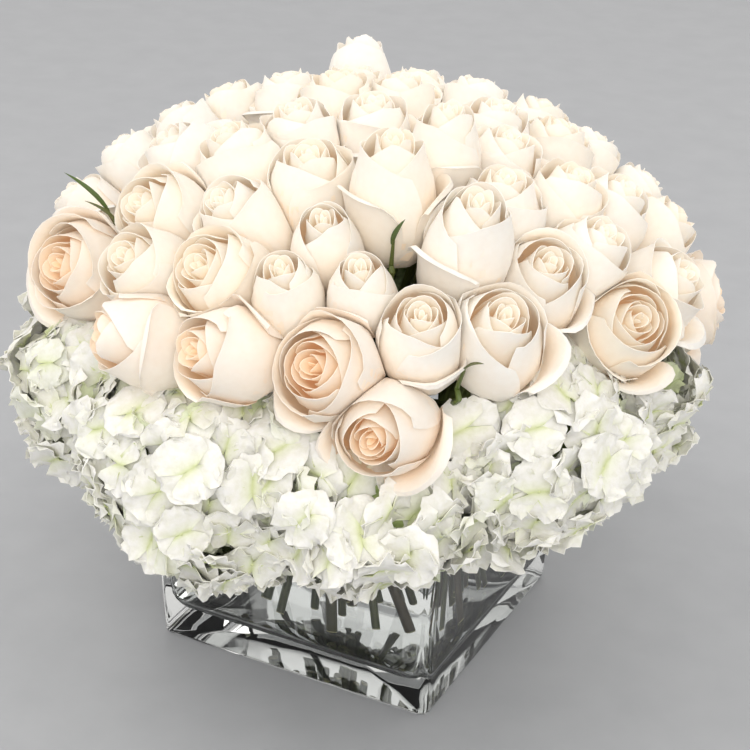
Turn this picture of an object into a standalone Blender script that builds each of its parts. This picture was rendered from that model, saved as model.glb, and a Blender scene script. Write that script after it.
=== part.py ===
"""Rose and hydrangea centrepiece: a dome of upright roses over a collar of
hydrangea heads, standing in a low square vase of clear glass with water.

Metres, +Z up, underside of the vase at z = 0 and its middle on the Z axis.
Azimuths are degrees from +X towards +Y.  A polar angle is 0 at the crown of
the dome and 90 at its widest line.
"""
import math
import random

import bmesh
import bpy
import numpy as np

# ---- driving dimensions -------------------------------------------------
VASE_WIDTH = 0.150            # across the foot
VASE_HEIGHT = 0.105
VASE_FLARE = 0.035            # growth of the half width per metre of height
WALL = 0.0050
BASE = 0.0130
CORNER = 0.0045               # radius of the upright corners
WATER_TOP = 0.082
FIT = 0.0003                  # clearance between pieces that touch

DOME_RADIUS = 0.149           # surface that the rose bellies lie on
DOME_RISE = 0.094
DOME_MIDDLE = 0.163
ROSE_SPACING = 0.031          # closest bellies are eased apart to this
ROSE_SIDES = 9                # three samples to each petal of a layer

HEAD_RADIUS = 0.064
FLORETS = 34                  # over a whole head; about half of them show
PETAL_DEPTH = 0.0150          # how deep the gaps between florets go
TILT = 0.0055                 # one side of a floret stands out by this much
UNDERCUT = math.radians(30)   # slope of a head's underside off the glass

WAIST = 0.119                 # height at which the stems are gripped together
WAIST_RADIUS = 0.024
STEM = 0.0023
LEGS = 22                     # stems that go on down into the water
SEED = 41

# kind: radius, height, openness (0 shut, 1 open), guard petals
KINDS = {
    "bud": (0.0180, 0.047, 0.05, 0),
    "tall": (0.0205, 0.063, 0.25, 1),
    "cup": (0.0235, 0.051, 0.60, 1),
    "open": (0.0255, 0.050, 1.00, 2),
}

# Azimuth of each hydrangea head, how far out and how high its middle is.
HEADS = [(-62, 0.110, 0.150), (-26, 0.106, 0.159), (10, 0.103, 0.163), (46, 0.108, 0.168),
         (82, 0.110, 0.165), (118, 0.110, 0.162), (154, 0.110, 0.165), (190, 0.108, 0.161),
         (226, 0.107, 0.150), (262, 0.110, 0.140)]
# Planting list: azimuth, polar angle, lean off the upright, azimuth it leans
# to, kind.  A row in its own brackets is one stem or a close group.
FRONT = [
    [(-62, 6, 6, -70, "cup")], [(-8, 10, 8, -20, "bud")],
    [(-115, 12, 14, -130, "cup")], [(25, 19, 10, 30, "cup")],
    [(-122, 24, 24, -150, "cup")], [(-87, 26, 12, -85, "cup")],
    [(-57, 30, 10, -60, "tall")], [(-29, 23, 6, -30, "tall")],
    [(-2, 31, 14, 0, "cup")], [(-144, 34, 40, -150, "cup")],
    [(-100, 37, 42, -120, "cup")], [(-75, 40, 30, -75, "bud")],
    [(-24, 33, 14, -20, "cup")], [(-2, 38, 22, 10, "cup")],
    [(37, 35, 20, 40, "cup")], [(12, 46, 30, 20, "cup")],
    [(-123, 44, 52, -114, "cup")], [(-95, 51, 50, -106, "open")],
    [(-78, 51, 26, -80, "bud")], [(-66, 51, 26, -70, "bud")],
    [(-40, 44, 22, -50, "tall")], [(-25, 51, 38, -41, "cup")],
    [(-8, 51, 30, 0, "cup")], [(26, 62, 46, 30, "cup")],
    [(-164, 61, 50, -158, "cup")], [(-135, 65, 66, -104, "open")],
    [(-113, 56, 50, -110, "cup")], [(-106, 68, 78, -138, "cup")],
    [(-87, 65, 72, -114, "cup")], [(-69, 66, 64, -92, "open")],
    [(-55, 58, 34, -64, "cup")], [(-40, 61, 37, -44, "cup")],
    [(-9, 63, 57, -44, "open")], [(-60, 79, 82, -80, "cup")],
    [(6, 66, 48, 4, "cup")], [(24, 78, 74, 26, "open")],
]
BACK = [
    [(150, 11, 8, 150, "cup"), (96, 12, 8, 95, "cup")],
    [(77, 29, 16, 85, "cup"), (93, 25, 14, 95, "cup"), (104, 38, 24, 105, "cup")],
    [(121, 34, 20, 120, "tall"), (135, 22, 12, 130, "cup")],
    [(151, 24, 14, 160, "cup"), (147, 38, 26, 150, "cup")],
    [(61, 36, 20, 60, "cup"), (46, 45, 30, 50, "cup"), (42, 54, 40, 40, "cup")],
    [(168, 37, 26, 180, "cup"), (179, 43, 34, 185, "cup"), (187, 50, 40, 190, "cup")],
    [(66, 52, 36, 66, "cup"), (77, 60, 48, 74, "cup")],
    [(90, 52, 36, 90, "open"), (98, 68, 56, 98, "cup")],
    [(112, 52, 36, 112, "cup"), (122, 67, 54, 122, "open")],
    [(134, 52, 36, 134, "cup"), (146, 68, 56, 146, "cup")],
    [(156, 53, 38, 158, "open"), (170, 60, 50, 171, "cup")],
]

# Sepals and leaf tips that stand up between blooms: azimuth, polar angle,
# length, azimuth the tip bends to.
GREENS = [(-138, 58, 0.020, -175), (-132, 56, 0.014, -150), (-60, 43, 0.010, 60),
          (-48, 69, 0.014, -20)]


# ---- small geometry helpers ---------------------------------------------
def unit(v):
    return v / np.linalg.norm(v)


def heading(azimuth, lean):
    """Unit vector leaning off +Z by `lean` towards `azimuth`, both degrees."""
    a, b = math.radians(azimuth), math.radians(lean)
    return np.array([math.sin(b) * math.cos(a), math.sin(b) * math.sin(a), math.cos(b)])


def frame_on(axis, spin=0.0):
    """Rows x, y, axis of a right-handed frame turned by `spin` radians."""
    side = np.array([0.0, 0.0, 1.0]) if abs(axis[2]) < 0.9 else np.array([1.0, 0.0, 0.0])
    x = unit(np.cross(side, axis))
    y = np.cross(axis, x)
    return np.array([math.cos(spin) * x + math.sin(spin) * y,
                     math.cos(spin) * y - math.sin(spin) * x, axis])


def loft(rings, low, high):
    """Closed mesh from rings of equal count, with a pole at either end."""
    n = len(rings[0])
    verts = [low] + [p for ring in rings for p in ring] + [high]
    last = len(verts) - 1
    faces = [(0, 1 + (i + 1) % n, 1 + i) for i in range(n)]
    for k in range(len(rings) - 1):
        a, b = 1 + k * n, 1 + (k + 1) * n
        for i in range(n):
            j = (i + 1) % n
            faces.append((a + i, a + j, b + j))
            faces.append((a + i, b + j, b + i))
    top = 1 + (len(rings) - 1) * n
    faces += [(last, top + i, top + (i + 1) % n) for i in range(n)]
    return np.array(verts, dtype=float), faces


class Cell:
    """Convex room that one bloom may fill, as half spaces n.x <= d."""

    def __init__(self, middle):
        self.middle = middle
        self.normals = []
        self.limits = []

    def cut(self, normal, point, margin=FIT * 0.7):
        self.normals.append(normal)
        self.limits.append(float(normal @ point) - margin)

    def room(self, directions):
        reach = directions @ np.array(self.normals).T
        space = np.array(self.limits) - np.array(self.normals) @ self.middle
        out = np.where(reach > 1e-6, space / np.maximum(reach, 1e-6), 9.0)
        return np.clip(out.min(axis=1), 1e-4, None)

    def ease(self, points, power=6.0):
        """Draw points towards the middle so that all lie inside the room."""
        offset = points - self.middle
        far = np.maximum(np.linalg.norm(offset, axis=1), 1e-9)
        ways = offset / far[:, None]
        room = self.room(ways)
        x = far / room
        return self.middle + ways * (room * x / (1 + x ** power) ** (1 / power))[:, None]


# ---- arrangement --------------------------------------------------------
def on_dome(azimuth, polar):
    a, p = math.radians(azimuth), math.radians(polar)
    return np.array([DOME_RADIUS * math.sin(p) * math.cos(a),
                     DOME_RADIUS * math.sin(p) * math.sin(a),
                     DOME_MIDDLE + DOME_RISE * math.cos(p)])


def back_to_dome(point):
    across = math.hypot(point[0], point[1]) / DOME_RADIUS
    polar = math.atan2(across, (point[2] - DOME_MIDDLE) / DOME_RISE)
    return on_dome(math.degrees(math.atan2(point[1], point[0])), math.degrees(polar))


def plant_roses():
    """Middles eased apart on the dome, with axis, kind and group of each."""
    roses = []
    for group, row in enumerate(FRONT + BACK):
        for azimuth, polar, lean, toward, kind in row:
            roses.append({"group": group, "kind": kind, "axis": heading(toward, lean),
                          "at": on_dome(azimuth, polar)})
    group = np.array([r["group"] for r in roses])
    row = np.arange(len(roses))
    linked = (group[:, None] == group[None]) & (abs(row[:, None] - row[None]) == 1)
    for _ in range(40):
        at = np.array([r["at"] for r in roses])
        gap = at[:, None] - at[None]
        far = np.linalg.norm(gap, axis=2) + np.eye(len(at))
        push = np.clip(ROSE_SPACING - far, 0, None) * 0.35
        push = np.where(linked, (ROSE_SPACING * 0.92 - far) * 0.35, push) / far
        at = at + (gap * push[..., None]).sum(axis=1)
        for rose, point in zip(roses, at):
            rose["at"] = back_to_dome(point)
    draw = random.Random(SEED)
    for rose in roses:
        radius, height, opening, guards = KINDS[rose["kind"]]
        size = draw.uniform(0.95, 1.06)
        rose.update(radius=radius * size, height=height * size, opening=opening,
                    guards=guards, spin=draw.uniform(0, 2 * math.pi))
        rise = 0.010 if rose["kind"] == "tall" else 0.0
        rose["at"] = rose["at"] + rose["axis"] * rise
    return roses


def plant_greens(roses):
    """Blades stand where the roses round them leave most room."""
    greens = []
    for azimuth, polar, length, bend in GREENS:
        at = on_dome(azimuth, polar)
        for _ in range(60):
            gap = at - np.array([r["at"] for r in roses])
            far = np.linalg.norm(gap, axis=1)
            push = np.clip(0.024 - far, 0, None) / far * 0.2
            at = back_to_dome(at + (gap * push[:, None]).sum(axis=0))
        outward = math.degrees(math.atan2(at[1], at[0]))
        greens.append({"at": at, "axis": heading(outward, polar * 0.5), "radius": 0.003,
                       "length": length, "bend": heading(bend, 90), "group": -1})
    return greens


def plant_heads():
    heads = []
    for azimuth, ring, middle in HEADS:
        out = heading(azimuth, 90)
        heads.append({"out": out, "at": out * ring + np.array([0, 0, middle])})
    return heads


def vase_reach(out):
    """How far the glass at the rim reaches along the level direction `out`."""
    half = VASE_WIDTH / 2 + VASE_FLARE * VASE_HEIGHT - CORNER
    return half * (abs(out[0]) + abs(out[1])) + CORNER


def share_room(roses, heads, greens):
    """Give every bloom its convex cell; pairs of blooms share one plane."""
    upper = roses + greens
    for item in upper + heads:
        item["cell"] = Cell(item["at"])
    for i, a in enumerate(upper):
        for j, b in enumerate(upper[i + 1:], i + 1):
            gap = b["at"] - a["at"]
            if np.linalg.norm(gap) > 0.12:
                continue
            mean = unit(a["axis"] + b["axis"])
            side = unit(gap - 0.45 * (gap @ mean) * mean)
            ahead = a["at"] + gap * a["radius"] / (a["radius"] + b["radius"])
            a["cell"].cut(side, ahead)
            b["cell"].cut(-side, ahead)
            if a["group"] == b["group"] and j == i + 1:
                a["link"] = (ahead - unit(gap) * 0.006, ahead + unit(gap) * 0.006)
    for head in heads:
        for rose in upper:
            gap = rose["at"] - head["at"]
            far = np.linalg.norm(gap)
            if far > 0.2:
                continue
            share = (far ** 2 + (rose["radius"] + 0.004) ** 2 - HEAD_RADIUS ** 2) / (2 * far)
            point = rose["at"] - gap / far * max(share, rose["radius"] * 0.85)
            way = unit(gap / far + np.array([0, 0, 0.5]))
            head["cell"].cut(way, point)
            rose["cell"].cut(-way, point)
        for other in heads:
            gap = other["at"] - head["at"]
            if other is not head:
                head["cell"].cut(unit(gap), head["at"] + gap / 2)
        away = head["out"] * math.cos(UNDERCUT) + np.array([0, 0, math.sin(UNDERCUT)])
        rim = head["out"] * vase_reach(head["out"]) + np.array([0, 0, VASE_HEIGHT])
        head["cell"].cut(-away, rim, margin=0.0008)


def clear_stems(head, items):
    """Keep a head off the stems that run past it to the waist."""
    middle = head["at"]
    for item in items:
        start = item["foot"] if "foot" in item else item["at"]
        low = low_point(item)
        for a, b in ((start, low), (low, knot_point(low))):
            along = float(np.clip((middle - a) @ (b - a) / ((b - a) @ (b - a)), 0, 1))
            near = a + (b - a) * along
            if np.linalg.norm(near - middle) < HEAD_RADIUS + 0.006:
                head["cell"].cut(unit(near - middle), near, margin=STEM + 0.0014)


# ---- rose ---------------------------------------------------------------
def rose_shape(radius, height, opening, guards, sides=ROSE_SIDES):
    """Folded loft: calyx end, belly, outer petals, two grooves, heart.

    Each layer has three petals that arch at the middle of their rim and pass
    outside the next petal on one edge only, like a pinwheel."""
    lip = 0.66 + 0.34 * opening
    #       radius, height, arch, pinwheel, samples turned, guard share
    rows = [
        (0.24, 0.02, 0.00, 0.00, 0, 0.0),
        (0.78, 0.20, 0.00, 0.01, 0, 0.0),
        (1.00, 0.47, 0.00, 0.04, 0, 0.05),
        (0.92, 0.70, 0.00, 0.07, 0, 0.20),
        (lip, 0.86, 0.05, 0.09, 0, 0.42),
        (lip * 0.72, 0.76, 0.03, 0.06, 0, 0.0),
        (lip * 0.64, 0.95, 0.04, 0.06, 1, 0.0),
        (lip * 0.42, 0.82, 0.02, 0.04, 1, 0.0),
        (lip * 0.30, 1.00, 0.03, 0.05, 2, 0.0),
    ]
    rings = []
    for r, z, arch, wheel, turned, guard in rows:
        ring = []
        for i in range(sides):
            t = 2 * math.pi * i / sides
            u = ((i - turned) / (sides / 3) + 0.5) % 1.0 * 2 - 1
            r_here = r + wheel * u
            z_here = z + arch * (0.5 - u * u) * 2
            fold = 0.0
            for g in range(guards):
                fold = max(fold, math.cos(t - 2 * math.pi / 3 * g))
            r_here += guard * fold ** 3
            z_here -= 0.35 * guard * fold ** 3
            ring.append((radius * r_here * math.cos(t), radius * r_here * math.sin(t),
                         height * (z_here - 0.48)))
        rings.append(ring)
    low = (0.0, 0.0, -0.50 * height)
    high = (0.0, 0.0, 0.39 * height)
    return loft(rings, low, high)


def build_rose(rose):
    verts, faces = rose_shape(rose["radius"], rose["height"], rose["opening"], rose["guards"])
    placed = rose["at"] + verts @ frame_on(rose["axis"], rose["spin"])
    eased = rose["cell"].ease(placed)
    rose["foot"] = eased[0]
    return eased, faces


def build_link(start, end):
    """Short tie that makes one body of two blooms pressed together."""
    way = end - start
    return tube([start, start + way * 0.2, start + way * 0.8, end], [0, 0.0016, 0.0016, 0], 3)


# ---- hydrangea ----------------------------------------------------------
def hull_of(ways):
    """Triangles of the convex hull of unit vectors, wound outwards."""
    mesh = bmesh.new()
    for index, way in enumerate(ways):
        mesh.verts.new(way)
    mesh.verts.ensure_lookup_table()
    mesh.verts.index_update()
    bmesh.ops.convex_hull(mesh, input=mesh.verts, use_existing_faces=False)
    bmesh.ops.triangulate(mesh, faces=mesh.faces)
    faces = []
    for face in mesh.faces:
        a, b, c = [v.index for v in face.verts]
        out = np.cross(ways[b] - ways[a], ways[c] - ways[a]) @ (ways[a] + ways[b] + ways[c])
        faces.append((a, b, c) if out > 0 else (a, c, b))
    mesh.free()
    return faces


def build_head(head, draw):
    """One closed body: four-petalled florets stand out of a smaller core.

    The surface is a radius over directions from the head's middle, so it
    can't cross itself."""
    aim = unit(head["out"] + np.array([0, 0, -0.05]))
    twist = draw.uniform(0, 2 * math.pi)
    middles, shown = [], []
    for k in range(FLORETS):
        z = 1 - (2 * k + 1) / FLORETS
        t = k * math.pi * (3 - math.sqrt(5)) + twist
        level = math.sqrt(1 - z * z)
        way = np.array([level * math.cos(t), level * math.sin(t), z]) @ frame_on(aim)
        way = unit(way + np.array([draw.uniform(-0.07, 0.07) for _ in range(3)]))
        middles.append(way)
        open_side = head["cell"].room(way[None])[0] > HEAD_RADIUS * 0.66
        shown.append(way @ aim > -0.30 and open_side)
    ways, radii = [], []
    for a, b, c in hull_of(middles):
        if shown[a] or shown[b] or shown[c]:
            ways.append(unit(middles[a] + middles[b] + middles[c]))
            radii.append(HEAD_RADIUS - PETAL_DEPTH)
    reach = math.sqrt(4 / FLORETS) * 0.78
    for way, seen in zip(middles, shown):
        if not seen:
            ways.append(way)
            radii.append(HEAD_RADIUS * 0.84)
            continue
        x, y, _ = frame_on(way, draw.uniform(0, 2 * math.pi))
        height = HEAD_RADIUS + draw.uniform(-0.002, 0.002)
        ways.append(way)
        radii.append(height - 0.0045)
        for i in range(8):
            t = math.pi * i / 4
            tip = i % 2 == 0
            spread = reach * (1.0 if tip else 0.56)
            slant = TILT * math.cos(t + 0.4) * spread / reach
            ways.append(unit(way + spread * (math.cos(t) * x + math.sin(t) * y)))
            radii.append(height + slant - (0.0 if tip else 0.0040))
    inward = unit(np.array([0, 0, WAIST]) - head["at"])
    head["inward"] = len(ways)
    ways.append(inward)
    radii.append(HEAD_RADIUS * 0.84)
    ways = np.array(ways)
    verts = head["cell"].ease(head["at"] + ways * np.array(radii)[:, None])
    head["foot"] = verts[head["inward"]]
    return verts, hull_of(ways)


# ---- stems --------------------------------------------------------------
def tube(path, radii, sides, flat=1.0):
    """Closed tube along a path, with a pole at either end."""
    path = [np.array(p, dtype=float) for p in path]
    way = unit(path[-1] - path[0])
    x, y, _ = frame_on(way)
    rings = []
    for k in range(1, len(path) - 1):
        ring = []
        for i in range(sides):
            t = 2 * math.pi * i / sides
            ring.append(path[k] + radii[k] * (math.cos(t) * x + flat * math.sin(t) * y))
        rings.append(ring)
    return loft(rings, path[0], path[-1])


def low_point(item):
    """Where a stem turns from the line of its bloom towards the waist."""
    if "foot" in item:
        return item["foot"] - item["axis"] * 0.006
    return item["at"] - item["axis"] * 0.016


def knot_point(target, depth=0.5):
    """A point inside the gripped waist on the way to `target`."""
    way = unit(target - np.array([0, 0, WAIST]))
    return np.array([0, 0, WAIST]) + way * WAIST_RADIUS * depth


def build_waist():
    """The stems pressed side by side where they cross: a fluted bunch."""
    rings = []
    for z, r in ((-0.62, 0.90), (0.0, 1.0), (0.66, 0.76)):
        ring = []
        for i in range(18):
            t = 2 * math.pi * i / 18
            rr = WAIST_RADIUS * r * (1.04 if i % 2 else 0.92)
            ring.append((rr * math.cos(t), rr * math.sin(t), WAIST + z * WAIST_RADIUS))
        rings.append(ring)
    return loft(rings, (0, 0, WAIST - 0.62 * WAIST_RADIUS), (0, 0, WAIST + 0.8 * WAIST_RADIUS))


def leg_lines():
    """Top and foot of each stem that stands in the water, turned as a spiral."""
    draw = random.Random(SEED + 2)
    lines = []
    for k in range(LEGS):
        r = math.sqrt((k + 0.5) / LEGS)
        t = k * math.pi * (3 - math.sqrt(5))
        top = np.array([0.0195 * r * math.cos(t), 0.0195 * r * math.sin(t),
                        WAIST - 0.45 * WAIST_RADIUS])
        turn = t + math.radians(24)
        wide = 0.056 * r * (1 + 0.10 * math.cos(4 * (turn - math.pi / 4)))
        foot = np.array([wide * math.cos(turn), wide * math.sin(turn),
                         BASE + draw.uniform(0.003, 0.016)])
        lines.append((top, foot))
    return lines


def build_stems(roses, heads, greens):
    pieces = [build_waist()]
    for rose in roses:
        foot, axis = rose["foot"], rose["axis"]
        below = low_point(rose)
        inside = knot_point(below)
        pieces.append(tube([foot - axis * FIT, foot - axis * 0.0025, below, inside,
                            inside - unit(below - inside) * 0.003],
                           [0, STEM, STEM, STEM * 0.9, 0], 3))
    for head in heads:
        foot = head["foot"]
        inside = knot_point(foot)
        way = unit(inside - foot)
        pieces.append(tube([foot + way * FIT, foot + way * 0.004, inside, inside + way * 0.003],
                           [0, STEM * 1.4, STEM * 1.2, 0], 4))
    for top, foot in leg_lines():
        way = unit(foot - top)
        pieces.append(tube([top - way * 0.003, top, foot, foot + way * 0.0012],
                           [0, STEM, STEM * 1.1, 0], 5))
    for green in greens:
        pieces.append(build_green(green))
    return pieces


def build_green(green):
    """A slim pointed blade on its own thin stem."""
    at, axis, length = green["at"], green["axis"], green["length"]
    bend = green["bend"] * length * 0.3
    path = [at + axis * (0.008 + length * f) + bend * f * f for f in (0.0, 0.4, 1.0)]
    low = low_point(green)
    inside = knot_point(low)
    line = [inside - unit(low - inside) * 0.003, inside, low, *path]
    radii = [0, STEM * 0.8, STEM * 0.7, 0.0020, 0.0026, 0]
    return tube(line, radii, 4, flat=0.55)


# ---- glass and water ----------------------------------------------------
def square_ring(half, z, corner=CORNER, steps=4):
    """Rounded square, `steps` points to a corner, counter-clockwise."""
    ring = []
    for c, (sx, sy) in enumerate(((1, 1), (-1, 1), (-1, -1), (1, -1))):
        for k in range(steps):
            t = math.pi / 2 * (c + k / (steps - 1))
            ring.append((sx * (half - corner) + corner * math.cos(t),
                         sy * (half - corner) + corner * math.sin(t), z))
    return ring


def half_at(z):
    return VASE_WIDTH / 2 + VASE_FLARE * z


def build_vase():
    top = half_at(VASE_HEIGHT)
    rings = [
        square_ring(half_at(0) - 0.0025, 0.0),
        square_ring(half_at(0), 0.0025),
        square_ring(top, VASE_HEIGHT - 0.0012),
        square_ring(top - 0.0012, VASE_HEIGHT),
        square_ring(top - WALL + 0.0012, VASE_HEIGHT, CORNER - 0.002),
        square_ring(top - WALL, VASE_HEIGHT - 0.0012, CORNER - 0.002),
        square_ring(half_at(0.026) - WALL, BASE + 0.013, CORNER - 0.002),
        square_ring(half_at(0.026) - WALL - 0.005, BASE + 0.0035, CORNER),
        square_ring(0.040, BASE + 0.0004, CORNER),
    ]
    return loft(rings, (0, 0, 0), (0, 0, BASE))


def build_water():
    rings = [
        square_ring(0.040, BASE + 0.0004 + FIT, CORNER),
        square_ring(half_at(0.026) - WALL - 0.005 - FIT, BASE + 0.0035 + FIT, CORNER),
        square_ring(half_at(0.026) - WALL - FIT, BASE + 0.013 + FIT, CORNER - 0.002),
        square_ring(half_at(WATER_TOP) - WALL - FIT, WATER_TOP, CORNER - 0.002),
    ]
    return loft(rings, (0, 0, BASE + FIT), (0, 0, WATER_TOP))


def water_holes():
    holes = []
    for top, foot in leg_lines():
        way = unit(foot - top)
        holes.append(tube([top - way * 0.001, top, foot + way * 0.0006, foot + way * 0.0018],
                          [0, STEM * 1.22, STEM * 1.32, 0], 5))
    return holes


# ---- Blender objects ----------------------------------------------------
def make_object(name, verts, faces, material, collection):
    mesh = bpy.data.meshes.new(name)
    mesh.from_pydata([tuple(v) for v in verts], [], faces)
    mesh.validate()
    mesh.update()
    mesh.materials.append(material)
    item = bpy.data.objects.new(name, mesh)
    collection.objects.link(item)
    return item


def combine(name, pieces, material, collection, operation="UNION"):
    """One closed body from the first piece and all the others."""
    parts = [make_object(f"{name}_piece", v, f, material, collection) for v, f in pieces]
    body = parts[0]
    group = bpy.data.collections.new(f"{name}_pieces")
    bpy.context.scene.collection.children.link(group)
    for part in parts[1:]:
        collection.objects.unlink(part)
        group.objects.link(part)
    union = body.modifiers.new("union", "BOOLEAN")
    union.operation = operation
    union.operand_type = "COLLECTION"
    union.collection = group
    union.solver = "MANIFOLD"
    bpy.context.view_layer.update()
    graph = bpy.context.evaluated_depsgraph_get()
    mesh = bpy.data.meshes.new_from_object(body.evaluated_get(graph))
    body.modifiers.clear()
    body.data = mesh
    for part in parts[1:]:
        bpy.data.objects.remove(part)
    bpy.data.collections.remove(group)
    body.name = name
    return body


def make_material(name, color, roughness, glass=0.0):
    material = bpy.data.materials.new(name)
    material.use_nodes = True
    shader = material.node_tree.nodes["Principled BSDF"]
    shader.inputs["Base Color"].default_value = (*color, 1.0)
    shader.inputs["Roughness"].default_value = roughness
    shader.inputs["Transmission Weight"].default_value = glass
    return material


def main():
    for item in list(bpy.data.objects):
        bpy.data.objects.remove(item)
    collection = bpy.data.collections.new("centerpiece")
    bpy.context.scene.collection.children.link(collection)
    cream = make_material("rose_petal", (0.93, 0.86, 0.74), 0.55)
    white = make_material("hydrangea_petal", (0.92, 0.95, 0.86), 0.6)
    green = make_material("stem_green", (0.10, 0.17, 0.06), 0.6)
    glass = make_material("clear_glass", (0.97, 0.98, 0.98), 0.02, glass=1.0)
    water = make_material("clear_water", (0.95, 0.98, 0.98), 0.0, glass=1.0)

    roses = plant_roses()
    heads = plant_heads()
    greens = plant_greens(roses)
    share_room(roses, heads, greens)
    groups = {}
    for rose in roses:
        pieces = groups.setdefault(rose["group"], [])
        pieces.append(build_rose(rose))
        if "link" in rose:
            pieces.append(build_link(*rose["link"]))
    for number, pieces in enumerate(groups.values(), 1):
        if len(pieces) == 1:
            make_object(f"rose_{number:02d}", *pieces[0], cream, collection)
        else:
            combine(f"roses_{number:02d}", pieces, cream, collection)
    draw = random.Random(SEED + 1)
    for number, head in enumerate(heads, 1):
        clear_stems(head, roses + greens)
        make_object(f"hydrangea_{number:02d}", *build_head(head, draw), white, collection)
    combine("stems", build_stems(roses, heads, greens), green, collection)
    make_object("vase", *build_vase(), glass, collection)
    combine("water", [build_water()] + water_holes(), water, collection, "DIFFERENCE")


main()
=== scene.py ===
"""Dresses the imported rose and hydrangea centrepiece: petals, florets, stems,
glass and water, on a plain pale floor."""
import math
import random

import bmesh
import bpy
import numpy as np
from mathutils import Matrix, Vector


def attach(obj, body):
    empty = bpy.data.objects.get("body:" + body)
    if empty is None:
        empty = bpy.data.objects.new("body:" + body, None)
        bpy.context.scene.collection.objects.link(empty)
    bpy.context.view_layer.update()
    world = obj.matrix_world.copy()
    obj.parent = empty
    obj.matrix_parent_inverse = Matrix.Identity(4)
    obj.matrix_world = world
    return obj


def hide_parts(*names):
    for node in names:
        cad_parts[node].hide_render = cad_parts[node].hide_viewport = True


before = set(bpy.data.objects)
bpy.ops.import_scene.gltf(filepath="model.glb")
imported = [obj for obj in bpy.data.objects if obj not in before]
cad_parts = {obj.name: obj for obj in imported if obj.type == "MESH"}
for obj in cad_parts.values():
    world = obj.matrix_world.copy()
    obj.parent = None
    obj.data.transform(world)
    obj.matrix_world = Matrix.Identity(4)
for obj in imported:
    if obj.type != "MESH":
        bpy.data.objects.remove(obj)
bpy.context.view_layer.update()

# ---- dimensions shared with the solids ----------------------------------
VASE_WIDTH = 0.150
VASE_HEIGHT = 0.105
VASE_FLARE = 0.035
WALL = 0.0050
BASE = 0.0130
CORNER = 0.0045
WATER_TOP = 0.082
FIT = 0.0003
DOME_RADIUS = 0.149
DOME_RISE = 0.094
DOME_MIDDLE = 0.163
ROSE_SPACING = 0.031
HEAD_RADIUS = 0.064
UNDERCUT = math.radians(30)
WAIST = 0.119
WAIST_RADIUS = 0.024
STEM = 0.0023
LEGS = 22
SEED = 41

# ---- dimensions of the dressing alone -----------------------------------
PETAL_STEP = 2.4            # radians from one petal of a rose to the next
PETAL_THICK = 0.00045
FLORET_THICK = 0.00035
BLADE_THICK = 0.0004
FLORETS = ((150, HEAD_RADIUS - 0.003, 0.0150),   # count over a whole ball, height
           (55, HEAD_RADIUS - 0.012, 0.0150))    # and petal length, outer layer first
LOW_AXIS = 0.45             # a rose whose axis rises less than this looks outwards
RIPE_SHADE = 0.95           # own shade of such a rose, which has a deeper peach heart
PAINTED_GLOW = 0.11                 # strength of the painted glow: emission that brightens the thin inner petals in place of daylight shining through them
CREASE = 55                 # degrees; edges sharper than this aren't smoothed

# Radius, height, openness and guard petals of a rose, by kind.
KINDS = {
    "bud": (0.0180, 0.047, 0.05, 0),
    "tall": (0.0205, 0.063, 0.25, 1),
    "cup": (0.0235, 0.051, 0.60, 1),
    "open": (0.0255, 0.050, 1.00, 2),
}
# Azimuth of each hydrangea head, how far out and how high its middle is.
HEADS = [(-62, 0.110, 0.150), (-26, 0.106, 0.159), (10, 0.103, 0.163), (46, 0.108, 0.168),
         (82, 0.110, 0.165), (118, 0.110, 0.162), (154, 0.110, 0.165), (190, 0.108, 0.161),
         (226, 0.107, 0.150), (262, 0.110, 0.140)]
# Petals in the spiral, collar and mouth radius and roll of the lip, by kind.
PETALS = {"bud": (12, 0.56, 0.36, 0.07), "tall": (13, 0.58, 0.38, 0.09),
          "cup": (15, 0.68, 0.41, 0.13), "open": (17, 0.82, 0.52, 0.18)}
# Planting list: azimuth, polar angle, lean off the upright, azimuth it leans
# to, kind.  A row in its own brackets is one stem or a close group.
FRONT = [
    [(-62, 6, 6, -70, "cup")], [(-8, 10, 8, -20, "bud")],
    [(-115, 12, 14, -130, "cup")], [(25, 19, 10, 30, "cup")],
    [(-122, 24, 24, -150, "cup")], [(-87, 26, 12, -85, "cup")],
    [(-57, 30, 10, -60, "tall")], [(-29, 23, 6, -30, "tall")],
    [(-2, 31, 14, 0, "cup")], [(-144, 34, 40, -150, "cup")],
    [(-100, 37, 42, -120, "cup")], [(-75, 40, 30, -75, "bud")],
    [(-24, 33, 14, -20, "cup")], [(-2, 38, 22, 10, "cup")],
    [(37, 35, 20, 40, "cup")], [(12, 46, 30, 20, "cup")],
    [(-123, 44, 52, -114, "cup")], [(-95, 51, 50, -106, "open")],
    [(-78, 51, 26, -80, "bud")], [(-66, 51, 26, -70, "bud")],
    [(-40, 44, 22, -50, "tall")], [(-25, 51, 38, -41, "cup")],
    [(-8, 51, 30, 0, "cup")], [(26, 62, 46, 30, "cup")],
    [(-164, 61, 50, -158, "cup")], [(-135, 65, 66, -104, "open")],
    [(-113, 56, 50, -110, "cup")], [(-106, 68, 78, -138, "cup")],
    [(-87, 65, 72, -114, "cup")], [(-69, 66, 64, -92, "open")],
    [(-55, 58, 34, -64, "cup")], [(-40, 61, 37, -44, "cup")],
    [(-9, 63, 57, -44, "open")], [(-60, 79, 82, -80, "cup")],
    [(6, 66, 48, 4, "cup")], [(24, 78, 74, 26, "open")],
]
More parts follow.
